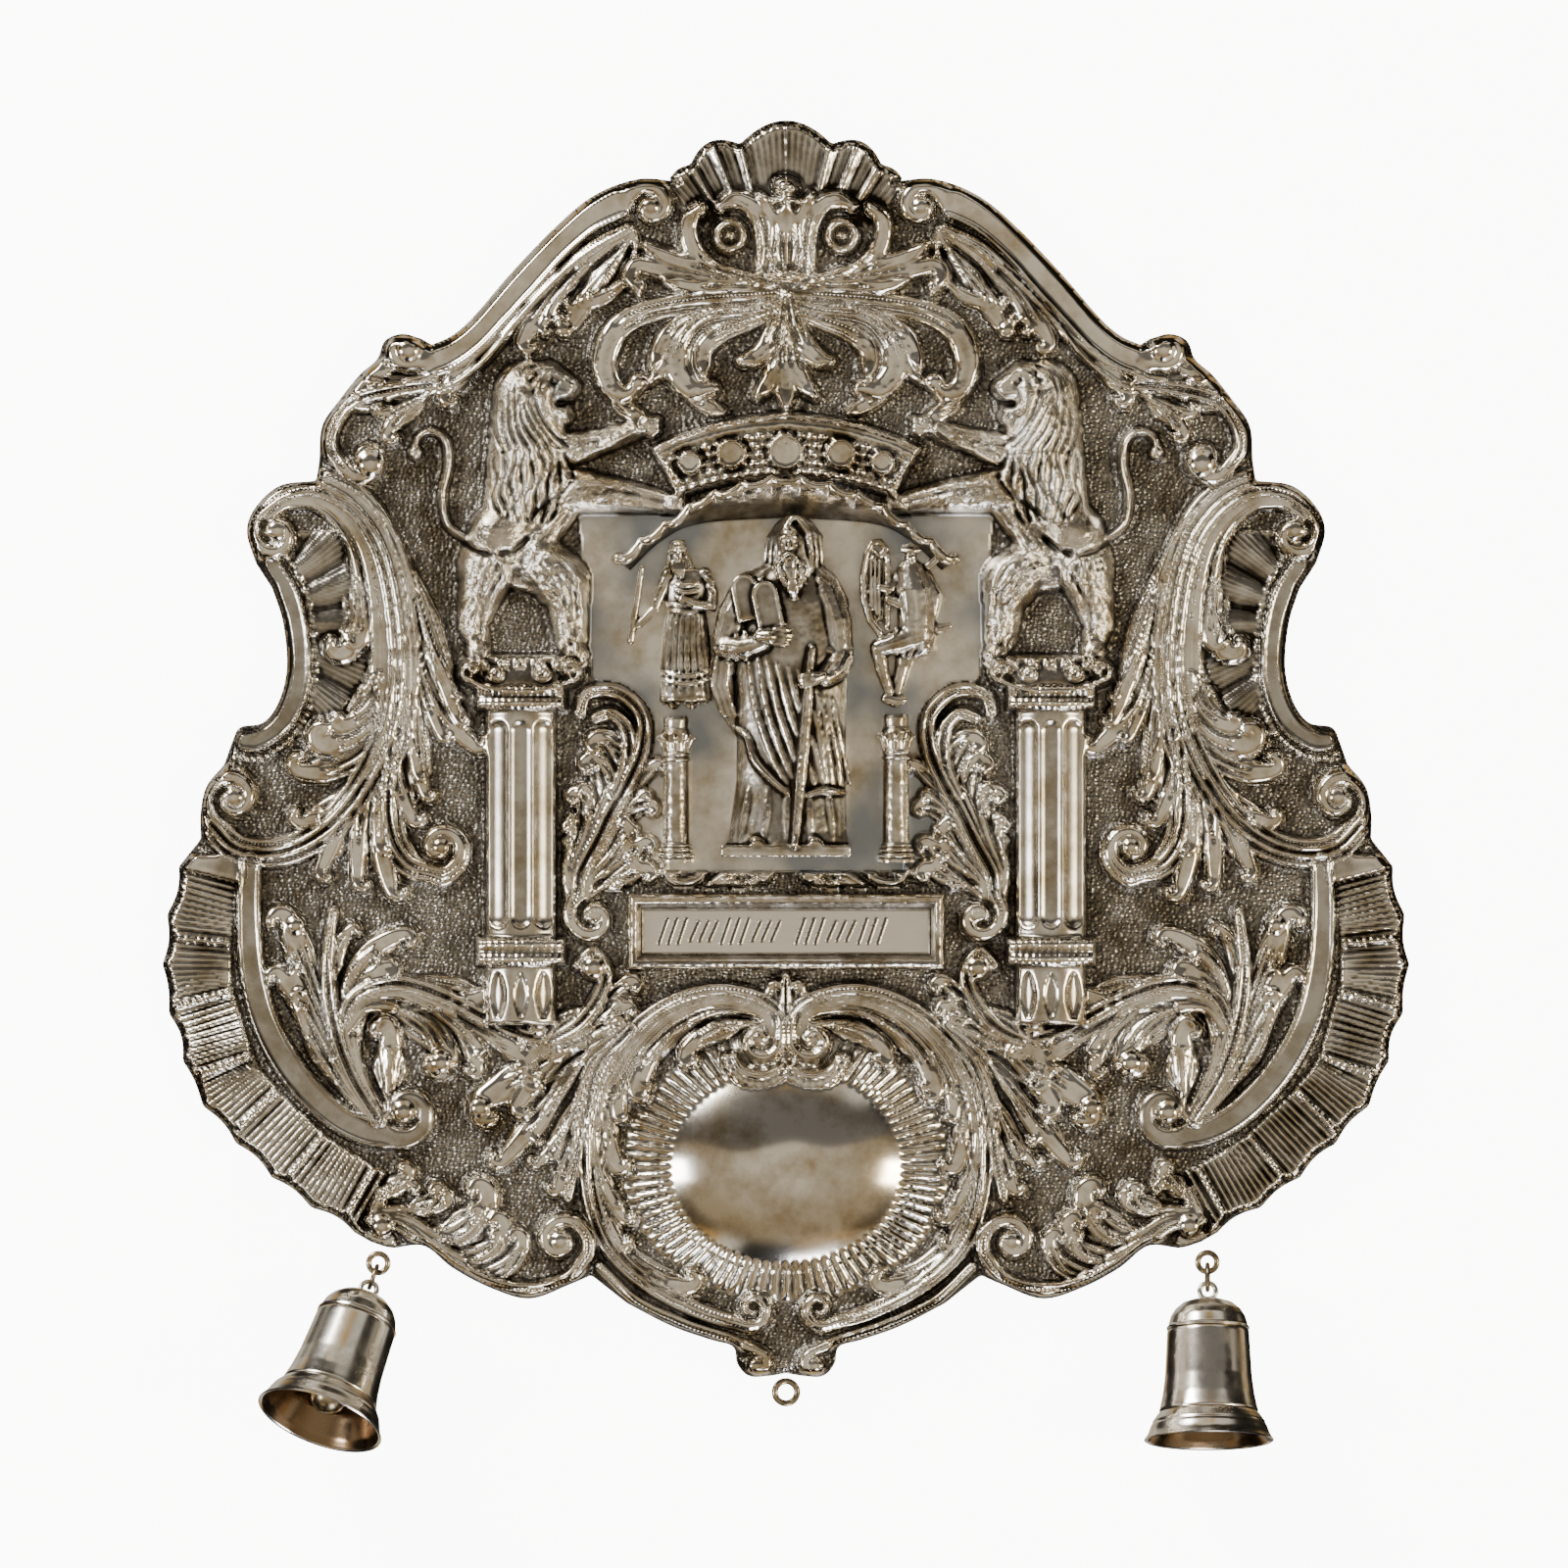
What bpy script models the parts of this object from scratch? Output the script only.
"""Torah shield: a repousse silver plate with a crown, two lions on fluted columns, three cast figures in a
niche under a shell canopy, a festival name plate in its frame, a polished boss, and two bells on rings.
It lies on its flat back with its face up: X across, Y up the shield, Z out of its face, origin under its
middle."""

import math

import bmesh
import bpy
import numpy as np
from mathutils import Matrix, Vector
from mathutils.geometry import delaunay_2d_cdt

MM = 0.001

# Plate
PLATE_HEIGHT = 0.350  # crest of the top shell to the foot of the bottom ring
GROUND = 0.005  # top of the matted ground above the back
RIM = 0.0022  # thickness of the plate at its outline
RIM_SLOPE = 0.004  # width over which the ground drops to the rim
GAP = 0.0003  # between pieces that touch
SHARP_ANGLE = math.radians(45)  # edges sharper than this stay crisp

# Relief above the ground
MOULDING_RISE = 0.0042
STEM_RISE = 0.0046
LOBE_RISE = 0.0040
BOSS_RISE = 0.0120
RAY_RISE = 0.0016
PLEAT_RISE = 0.0022
SHAFT_RISE = 0.0080
FLUTE_DEPTH = 0.0024
BAND_RISE = 0.0072
PANEL_RISE = 0.0008

# Applied pieces
CANOPY_THICKNESS = 0.0011
CANOPY_SCALLOP = 0.0012  # how far its edge stands out between notches
CANOPY_REACH = 0.0150  # how far the canopy's front edge stands above the ground
FRAME_RISE = 0.0050
FRAME_LIP = 0.0038  # width of the name plate frame's moulding
NAME_PLATE_THICKNESS = 0.0016
PROPHET_DEPTH = 0.0170
SMALL_FIGURE_DEPTH = 0.0100
FIGURE_GRAIN = 0.0007  # finest detail of a cast figure
SMALL_COLUMN_RADIUS = 0.0031
FLANGE = 1.68  # radius of the small column's foot, as a share of its shaft's

# Bells
BELL_HEIGHT = 0.0395
BELL_MOUTH_RADIUS = 0.0178
BELL_SHOULDER_RADIUS = 0.0113
BELL_WALL = 0.0010
BELL_LOOP_RADIUS = 0.0022
BELL_LOOP_WIRE = 0.0007
CLAPPER_RADIUS = 0.0050
CLAPPER_STEM_RADIUS = 0.0007
JUMP_RING_REACH = 0.0030  # how far beyond the eyelet each jump ring carries its bell
JUMP_RING_WIRE = 0.0006
EYELET_RADIUS = 0.0026
EYELET_WIRE = 0.0008
EYELET_HEIGHT = 0.0060  # of the eyelet's wire above the back
LUG_RADIUS = 0.0050  # thickening of the rim that each eyelet is soldered to
# Each bell: its eyelet's place on the layout, degrees that it swings sideways, degrees that its mouth is raised
BELLS = {
    "left": ((386, 1285), -20.0, 26.0),
    "right": ((1232, 1284), 0.0, 12.0),
}

# The layout is drawn on the photograph's pixel grid: its centre line, its top and its foot
AXIS_X = 802
TOP_Y = 122
FOOT_Y = 1430
PIXEL = PLATE_HEIGHT / (FOOT_Y - TOP_Y)

# Mesh of the relief
FINE_STEP = 0.0014  # between points before thinning
PLATE_TRIANGLES = 5600
LINE_STEP = 0.0028  # along the outline

# Outline of the left half, from the crest to the foot
SHELL_CENTRE = (802, 330)
SHELL_NOTCH_RADIUS = 190
SHELL_RIBS = 40  # to a full turn
SHELL_LOBES = [(-14.3, 14.3, 18), (14.3, 31, 12), (31, 39, 3)]  # degrees from the axis at both ends, rise
SHOULDER_EDGE = [(690, 184), (650, 182), (605, 199), (565, 232), (520, 279), (482, 323), (460, 342),
                 (440, 351)]
SHOULDER_FOOT_EDGE = [(430, 345), (410, 340), (392, 347), (384, 366), (366, 382), (346, 407), (328, 434),
                      (325, 470)]
SIDE_SCROLL_EDGE = [(322, 490), (285, 495), (260, 517), (251, 542), (260, 574)]
NOTCH_EDGE = [(277, 600), (288, 635), (292, 680), (284, 715), (268, 737), (244, 742), (236, 757)]
VOLUTE_EDGE = [(228, 780), (210, 802), (204, 828), (204, 856)]
PLEATED_EDGE = [(184, 885), (171, 940), (168, 1005), (182, 1060), (202, 1118), (248, 1172), (305, 1222),
                (362, 1256)]
PLEATED_LOBES = 9
LEAF_EDGE = [(378, 1268), (400, 1274), (432, 1272), (462, 1295), (500, 1315), (540, 1326), (580, 1312),
             (603, 1302)]
CARTOUCHE_EDGE = [(640, 1331), (685, 1354), (725, 1368), (748, 1375), (752, 1392), (764, 1405), (784, 1405),
                  (802, 1402)]
FOOT_RING_RADIUS = 0.0030
FOOT_RING_WIRE = 0.0009

# Mouldings and stems of the left half: points, half width, rise, centres of the volutes at its head and tail
SHOULDER = ([(640, 203), (600, 221), (565, 250), (535, 283), (505, 316), (478, 345), (450, 364), (420, 371)],
            19)
SHOULDER_VOLUTES = ((664, 211), (412, 356))
SIDE_STEM = ([(266, 520), (290, 503), (325, 500), (358, 518), (385, 555), (400, 610), (406, 680), (398, 740),
              (372, 795), (335, 838), (290, 862), (245, 858), (218, 835)], 14)
SIDE_STEM_VOLUTES = ((283, 540), (240, 816))
NOTCH_BAND = ([(276, 578), (292, 610), (301, 655), (300, 700), (287, 732), (262, 752), (246, 755)], 10)
CRESCENT = ([(256, 880), (254, 930), (258, 990), (272, 1045), (300, 1095), (338, 1135), (375, 1155),
             (410, 1160)], 15)
CRESCENT_VOLUTE = (414, 1133)
CARTOUCHE = ([(797, 1040), (770, 1018), (730, 1012), (690, 1022), (655, 1045), (625, 1080), (606, 1125),
              (600, 1180),
              (606, 1230), (625, 1275), (665, 1312), (715, 1338), (755, 1350)], 10)
CARTOUCHE_VOLUTES = ((778, 1060), (768, 1334))
CARTOUCHE_FOOT = ([(612, 1292), (650, 1328), (700, 1352), (745, 1367), (780, 1382)], 7)
CARTOUCHE_FOOT_VOLUTE = (772, 1393)

# Leaves of the left half: each is a stem and its half width, then its lobes as (share of the stem where the
# lobe leaves it, x and y of the lobe's tip, half width)
LEAVES = {
    "side": (SIDE_STEM[0], 0, [(0.30, 350, 668, 12), (0.47, 386, 692, 5), (0.50, 345, 742, 8),
                               (0.54, 325, 757, 13),
                               (0.58, 298, 783, 10), (0.66, 302, 838, 8), (0.34, 470, 740, 7),
                               (0.43, 490, 765, 9),
                               (0.50, 436, 815, 7), (0.56, 425, 840, 8), (0.58, 402, 915, 9),
                               (0.60, 365, 905, 8),
                               (0.62, 325, 893, 8)]),
    "crescent": ([(388, 1145), (358, 1095), (340, 1040), (334, 985), (340, 930)], 8,
                 [(0.25, 300, 1012, 6), (0.35, 283, 990, 9), (0.45, 290, 930, 12), (0.50, 418, 952, 9),
                  (0.42, 398, 985, 9), (0.08, 397, 1048, 11), (0.75, 362, 945, 6)]),
    "spreading": ([(348, 1045), (365, 1015), (405, 1003), (450, 1015), (500, 1040), (545, 1058), (565, 1045)],
                  9,
                  [(0.30, 505, 1010, 8), (0.45, 527, 1036, 7), (0.28, 455, 1085, 13), (0.48, 488, 1092, 8),
                   (0.58, 535, 1082, 8), (0.72, 572, 1078, 7)]),
    "niche": ([(588, 915), (592, 890), (608, 860), (625, 825), (640, 800), (655, 765), (655, 730), (630, 706),
               (600, 708), (592, 728)], 10,
              [(0.42, 672, 778, 7), (0.34, 668, 822, 7), (0.20, 642, 843, 7), (0.14, 660, 858, 8),
               (0.05, 660, 885, 9), (0.40, 598, 776, 8), (0.30, 588, 808, 8), (0.18, 586, 845, 7),
               (0.50, 606, 755, 9)]),
    "pedestal": ([(560, 1062), (590, 1045), (612, 1015), (618, 990), (605, 972), (590, 985)], 9,
                 [(0.45, 645, 1000, 8), (0.30, 642, 1025, 7), (0.15, 635, 1045, 8)]),
    "flank": ([(645, 1048), (612, 1085), (598, 1130), (588, 1180), (580, 1222)], 8,
              [(0.05, 540, 1110, 9), (0.18, 487, 1130, 14), (0.30, 510, 1188, 9), (0.52, 545, 1190, 6),
               (0.66, 568, 1216, 7)]),
    "foot": ([(378, 1245), (410, 1252), (445, 1280), (490, 1306), (535, 1316), (578, 1306), (600, 1280)], 9,
             [(0.06, 418, 1196, 8), (0.16, 450, 1214, 8), (0.30, 492, 1208, 11), (0.42, 512, 1243, 9),
              (0.54, 530, 1258, 8), (0.02, 385, 1224, 5)]),
    "shoulder": ([(645, 232), (600, 258), (565, 288), (530, 325), (500, 362), (470, 388), (450, 397)], 6,
                 [(0.02, 590, 312, 6), (0.08, 580, 334, 9), (0.22, 552, 338, 6), (0.28, 533, 352, 9),
                  (0.50, 450, 406, 10)]),
    "corner": ([(445, 392), (400, 398), (360, 410), (340, 435), (338, 460), (358, 484)], 9,
               [(0.05, 375, 384, 7), (0.15, 357, 397, 7), (0.30, 343, 414, 8), (0.08, 395, 442, 8)]),
    "crown_side": ([(785, 283), (740, 285), (700, 275), (666, 268)], 8,
                   [(0.35, 662, 250, 8), (0.45, 648, 290, 10), (0.20, 680, 294, 9)]),
    "crown_eye": ([(785, 278), (777, 240), (768, 215), (745, 203), (722, 215), (717, 240), (730, 260)], 8,
                  [(0.02, 708, 214, 9)]),
    "outer_arch": ([(780, 303), (720, 306), (670, 314), (635, 335), (616, 368), (618, 400), (640, 425),
                    (662, 442)], 10,
                   [(0.55, 655, 393, 10), (0.75, 668, 416, 7)]),
    "middle_arch": ([(775, 318), (730, 325), (700, 340), (688, 370), (695, 395), (724, 412)], 10,
                    [(0.15, 672, 345, 7), (0.30, 668, 384, 8)]),
    "inner_arch": ([(768, 332), (735, 340), (715, 360), (712, 388)], 8, []),
    "crown_stem": ([(802, 295), (802, 330), (802, 370), (802, 417)], 10,
                   [(0.10, 766, 372, 8), (0.45, 770, 406, 8)]),
    "crown_neck": ([(802, 200), (802, 240), (802, 280)], 11, []),
    "cartouche": (CARTOUCHE[0], 0, [(0.10, 700, 1074, 9), (0.22, 648, 1116, 9), (0.34, 630, 1142, 6),
                                    (0.42, 630, 1192, 9), (0.52, 640, 1246, 7), (0.58, 634, 1272, 8),
                                    (0.72, 712, 1310, 10)]),
    "cartouche_crest": ([(802, 1040), (802, 996)], 7, [(0.10, 786, 1006, 6)]),
}
LEAVES["ledge"] = ([(802, 890), (770, 896), (730, 893), (705, 898), (686, 890)], 7,
                   [(0.30, 745, 882, 6), (0.60, 720, 880, 6)])
LEAF_VOLUTES = {"niche": ((605, 936), None), "foot": (None, (572, 1266)), "corner": (None, (373, 468)),
                "crown_eye": (None, (745, 240))}
CURL_STEM = ([(404, 700), (398, 780), (398, 840), (415, 875), (450, 888)], 11)
CURL_VOLUTE = (447, 862)

# Boss, fans and rays
BOSS_CENTRE = (802, 1190)
BOSS_RADII = (118, 98)
RAY_COUNT = 60
RAY_REACH = 1.42
SIDE_FAN_CENTRE = (240, 637)

# Crown band and its five settings
BAND_TOP = [(663, 458), (720, 433), (802, 421)]
BAND_FOOT = [(692, 507), (745, 492), (802, 486)]
SETTINGS = [(703, 467, 8), (741, 464, 10), (802, 463, 14)]

# Large fluted columns
COLUMN_X = 532
SHAFT_HALF_WIDTH = 35
SHAFT_TOP = 724
FLUTES = 3
PEDESTAL_FOOT = 1046
CAPITAL_TOP = 676

# Lion of the left half: capsules from one point to another, as x, y, radius, height of its centre line above
# the ground in millimetres at each end
LION = [
    (536, 470, 36, 1.5, 522, 545, 37, 0.5),
    (520, 545, 38, 0.0, 500, 588, 31, 0.0),
    (497, 585, 28, 0.0, 480, 632, 17, 0.5),
    (480, 632, 15, 0.5, 492, 660, 11, 1.0),
    (492, 664, 11, 1.5, 510, 668, 9, 1.0),
    (548, 560, 30, 0.0, 585, 598, 22, 0.5),
    (586, 600, 20, 0.5, 572, 640, 13, 1.0),
    (572, 640, 12, 1.0, 578, 662, 11, 1.0),
    (578, 665, 10, 1.5, 596, 668, 9, 1.0),
    (546, 404, 33, 2.0, 540, 440, 36, 1.0),
    (566, 390, 19, 7.0, 574, 398, 15, 7.0),
    (580, 397, 11, 7.5, 592, 402, 8, 7.0),
    (572, 416, 9, 6.5, 585, 418, 7, 6.0),
    (538, 378, 8, 9.0, 543, 369, 5, 8.0),
    (572, 462, 19, 1.5, 610, 456, 13, 1.5),
    (610, 456, 13, 1.5, 646, 438, 10, 1.5),
    (646, 438, 11, 1.5, 660, 438, 9, 1.5),
    (572, 500, 21, 1.5, 630, 500, 14, 1.5),
    (630, 500, 14, 1.5, 684, 513, 11, 1.0),
]
MANE_LOCKS = 6  # over the neck and chest, from below the ear to the breast
LION_TAIL = ([(475, 550), (457, 535), (452, 505), (458, 475), (455, 450), (440, 440), (426, 448), (424, 466)],
             6)

# Niche
NICHE_TOP = 520
NICHE_FOOT = 890
NICHE_HALF_WIDTH = 196
CANOPY_FRONT = [(632, 573), (690, 530), (740, 503), (802, 487)]
CANOPY_BACK = [(642, 581), (674, 551), (714, 533), (802, 527)]
FRAME_LEFT = 640
FRAME_TOP = 908
FRAME_FOOT = 985
SMALL_COLUMN_X = (690, 914)
SMALL_COLUMN_TOP = (727, 725)
SMALL_COLUMN_FOOT = 876

# Limbs of the cast figures: at each end x and y on the layout, radius in its units, and height above the
# figure's back as a share of its depth
PROPHET_LIMBS = [
    ((804, 556, 17, 0.63), (804, 566, 16, 0.63)),
    ((805, 553, 23, 0.45), (805, 582, 30, 0.40)),
    ((803, 578, 13, 0.80), (806, 606, 6, 0.80)),
    ((762, 605, 17, 0.45), (742, 655, 15, 0.51)),
    ((742, 658, 15, 0.57), (776, 656, 9, 0.86)),
    ((776, 653, 7, 0.92), (802, 650, 5.5, 0.95)),
    ((742, 662, 15, 0.42), (740, 700, 14, 0.38)),
    ((740, 700, 14, 0.38), (754, 746, 6, 0.36)),
    ((846, 605, 16, 0.45), (862, 662, 14, 0.51)),
    ((862, 668, 12, 0.51), (843, 692, 9, 0.86)),
    ((840, 694, 7, 0.94), (824, 698, 6, 0.96)),
]
PRIEST_LIMBS = [
    ((692, 568, 10, 0.50), (692, 570, 10, 0.50)),
    ((690, 559, 8, 0.40), (691, 563, 9, 0.50)),
    ((684, 588, 7, 0.50), (672, 618, 6, 0.60)),
    ((672, 620, 6, 0.60), (648, 642, 5, 0.60)),
    ((654, 580, 4.2, 0.60), (645, 654, 5, 0.60)),
    ((718, 588, 7, 0.50), (727, 622, 7, 0.60)),
    ((727, 624, 6, 0.60), (692, 614, 5, 0.80)),
    ((693, 712, 9, 0.50), (703, 712, 9, 0.50)),
]
HARPIST_LIMBS = [
    ((930, 567, 10, 0.50), (930, 570, 10, 0.50)),
    ((930, 590, 20, 0.50), (934, 640, 17, 0.50)),
    ((942, 592, 9, 0.50), (952, 630, 8, 0.50)),
    ((950, 632, 7, 0.70), (902, 614, 5, 0.70)),
    ((940, 646, 15, 0.60), (900, 656, 12, 0.60)),
    ((898, 658, 9, 0.60), (908, 700, 6, 0.60)),
    ((930, 655, 11, 0.40), (920, 690, 8, 0.40)),
    ((920, 690, 8, 0.40), (914, 712, 8, 0.40)),
    ((945, 645, 9, 0.50), (968, 640, 4, 0.50)),
    ((886, 560, 4.5, 0.60), (882, 600, 4.5, 0.60)),
    ((882, 600, 4.5, 0.60), (896, 640, 5, 0.60)),
    ((888, 560, 4.5, 0.60), (902, 564, 4, 0.60)),
    ((902, 564, 4, 0.60), (906, 630, 4.5, 0.60)),
    ((905, 714, 7, 0.50), (922, 715, 7, 0.50)),
]

# Finishes as colour and roughness
REPOUSSE = ((0.50, 0.47, 0.43, 1.0), 0.28)
CAST = ((0.56, 0.53, 0.48, 1.0), 0.24)
POLISHED = ((0.74, 0.73, 0.71, 1.0), 0.12)


def plan(points):
    """Points of the layout grid as metres: X from the centre line, Y down from the crest."""
    grid = np.array(points, float).reshape(-1, 2)
    return np.stack([(grid[:, 0] - AXIS_X) * PIXEL, (TOP_Y - grid[:, 1]) * PIXEL], 1)


def mirrored(path):
    return path * np.array([-1.0, 1.0])


def resample(path, step):
    """The same line with points an even distance of about step apart."""
    leg = np.hypot(*np.diff(path, axis=0).T)
    along = np.concatenate([[0], np.cumsum(leg)])
    count = max(2, round(along[-1] / step) + 1)
    even = np.linspace(0, along[-1], count)
    return np.stack([np.interp(even, along, path[:, 0]), np.interp(even, along, path[:, 1])], 1)


def smooth(points, step=0.001):
    """A curve through points, as a Catmull-Rom spline with even steps."""
    p = np.concatenate([[2 * points[0] - points[1]], points, [2 * points[-1] - points[-2]]])
    u = np.linspace(0, 1, 16, endpoint=False)[:, None]
    runs = []
    for a, b, c, d in zip(p[:-3], p[1:-2], p[2:-1], p[3:]):
        squared, cubed = 2 * a - 5 * b + 4 * c - d, 3 * b - a - 3 * c + d
        runs.append(0.5 * (2 * b + (c - a) * u + squared * u**2 + cubed * u**3))
    return resample(np.concatenate(runs + [points[-1:]]), step)


def tangents(path):
    run = np.gradient(path, axis=0)
    return run / np.maximum(np.hypot(*run.T), 1e-12)[:, None]


def volute(path, centre, turns=0.95, shrink=0.30):
    """The line carried on round centre from its last point, drawing in to shrink times its first distance."""
    out = path[-1] - centre
    start = math.atan2(out[1], out[0])
    heading = tangents(path)[-1]
    turn = math.copysign(1.0, out[0] * heading[1] - out[1] * heading[0])
    u = np.linspace(0, 1, 24)[1:]
    reach = np.hypot(*out) * shrink**u
    angle = start + turn * u * turns * 2 * math.pi
    spiral = centre + np.stack([np.cos(angle), np.sin(angle)], 1) * reach[:, None]
    return np.concatenate([path, spiral])


def lobe_path(stem, share, tip):
    """An arc that leaves the stem along it at that share of its length, and ends at tip."""
    at = min(int(share * (len(stem) - 1)), len(stem) - 1)
    root, heading = stem[at], tangents(stem)[at]
    chord = tip - root
    reach = np.hypot(*chord)
    bend = math.atan2(heading[0] * chord[1] - heading[1] * chord[0], heading @ chord)
    bend = max(-1.5, min(1.5, bend))
    turned = 2 * bend + math.atan2(heading[1], heading[0])
    ending = np.array([math.cos(turned), math.sin(turned)])
    c1 = root + heading * reach * 0.42
    c2 = tip - ending * reach * 0.36
    u = np.linspace(0, 1, 24)[:, None]
    return (1 - u) ** 3 * root + 3 * (1 - u) ** 2 * u * c1 + 3 * (1 - u) * u**2 * c2 + u**3 * tip


def half_widths(count, width, kind):
    """Half width along a stroke: a lobe swells to its round tip, a stem or moulding tapers at both ends."""
    u = np.linspace(0, 1, count)
    if kind == "lobe":
        swell = 0.35 + 0.65 * np.minimum(u / 0.72, 1.0) ** 1.2
        return width * swell * np.sqrt(np.clip(1 - (np.maximum(u - 0.88, 0) / 0.13) ** 2, 0.04, 1))
    return width * (0.72 + 0.28 * np.sin(np.pi * u))


def stroke(path, width, rise, kind):
    path = resample(path, 0.0012)
    return {"path": path, "half": half_widths(len(path), width, kind), "rise": rise, "kind": kind}


def scroll(design, volutes, rise, kind):
    """A moulding or stem with its volutes, the head's drawn by running the line backwards."""
    points, width = design
    path = smooth(plan(points))
    head, tail = volutes
    if tail is not None:
        path = volute(path, plan(tail)[0])
    if head is not None:
        path = volute(path[::-1], plan(head)[0])[::-1]
    return stroke(path, width * PIXEL, rise, kind)


def half_strokes():
    """Every stroke of the left half, mouldings first."""
    found = [
        scroll(SHOULDER, SHOULDER_VOLUTES, MOULDING_RISE, "moulding"),
        scroll(CRESCENT, (None, CRESCENT_VOLUTE), MOULDING_RISE, "moulding"),
        scroll(NOTCH_BAND, (None, None), MOULDING_RISE, "moulding"),
        scroll(CARTOUCHE, CARTOUCHE_VOLUTES, STEM_RISE, "stem"),
        scroll(SIDE_STEM, SIDE_STEM_VOLUTES, STEM_RISE, "stem"),
        scroll(CARTOUCHE_FOOT, (None, CARTOUCHE_FOOT_VOLUTE), LOBE_RISE, "stem"),
        scroll(CURL_STEM, (None, CURL_VOLUTE), LOBE_RISE, "stem"),
        scroll(LION_TAIL, (None, None), LOBE_RISE, "stem"),
    ]
    for name, (points, width, lobes) in LEAVES.items():
        stem = smooth(plan(points))
        if width:
            found.append(scroll((points, width), LEAF_VOLUTES.get(name, (None, None)), STEM_RISE, "stem"))
        for share, x, y, lobe_width in lobes:
            found.append(stroke(lobe_path(stem, share, plan([(x, y)])[0]), lobe_width * PIXEL, LOBE_RISE,
                                "lobe"))
    return found


def mane():
    """Locks that fall from the lion's cheek over its neck and breast, each a curved tapering ridge."""
    locks = []
    for k in range(MANE_LOCKS):
        share = k / (MANE_LOCKS - 1)
        root = (526 + 44 * share, 384 + 50 * share * (1 - share) + 14 * share)
        tip = (508 + 52 * share, 452 + 40 * math.sin(math.pi * share) + 6 * share)
        middle = ((root[0] + tip[0]) / 2 - 4, (root[1] + tip[1]) / 2)
        locks.append((*root, 5, 8.8, *middle, 6, 9.6))
        locks.append((*middle, 6, 9.6, *tip, 3, 8.4))
    return locks


def distance_along(points, path):
    """Distance of each point from the line, and the line's point that is nearest."""
    a, b = path[:-1], path[1:]
    leg = b - a
    square = np.maximum((leg**2).sum(1), 1e-15)
    t = np.clip(((points[:, None] - a) * leg).sum(2) / square, 0, 1)
    gap = np.hypot(*np.moveaxis(points[:, None] - (a + t[..., None] * leg), 2, 0))
    nearest = gap.argmin(1)
    rows = np.arange(len(points))
    return gap[rows, nearest], nearest + t[rows, nearest]


def stroke_relief(points, s):
    """Rise of one stroke above the ground: round on a stem or lobe, dished between two rims on a moulding."""
    reach = s["half"].max()
    low, high = s["path"].min(0) - reach, s["path"].max(0) + reach
    near = ((points > low) & (points < high)).all(1)
    relief = np.zeros(len(points))
    if not near.any():
        return relief
    gap, place = distance_along(points[near], s["path"])
    across = gap / np.interp(place, np.arange(len(s["half"])), s["half"])
    shape = np.sqrt(np.clip(1 - across**2, 0, 1))
    if s["kind"] == "moulding":
        shape = np.where(across < 1, np.minimum(1, 3.2 * (1 - across)) - 0.22 * np.clip(1 - across / 0.6, 0,
                                                                                        1), 0)
    relief[near] = s["rise"] * np.clip(shape, 0, 1)
    return relief


def capsule_relief(points, part):
    """Height above the ground of a tapered capsule that lies in the plate."""
    x0, y0, r0, z0, x1, y1, r1, z1 = part
    line = plan([(x0, y0), (x1, y1)])
    gap, place = distance_along(points, line)
    radius = (r0 + (r1 - r0) * place) * PIXEL
    centre = (z0 + (z1 - z0) * place) * MM
    return np.where(gap < radius, centre + 0.85 * np.sqrt(np.clip(radius**2 - gap**2, 0, None)), 0)


def arch(x, knots):
    """Height of a symmetrical arch through knots of the layout, x metres from the centre line."""
    line = plan(knots)
    return np.interp(-np.abs(x), line[:, 0], line[:, 1])


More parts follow.
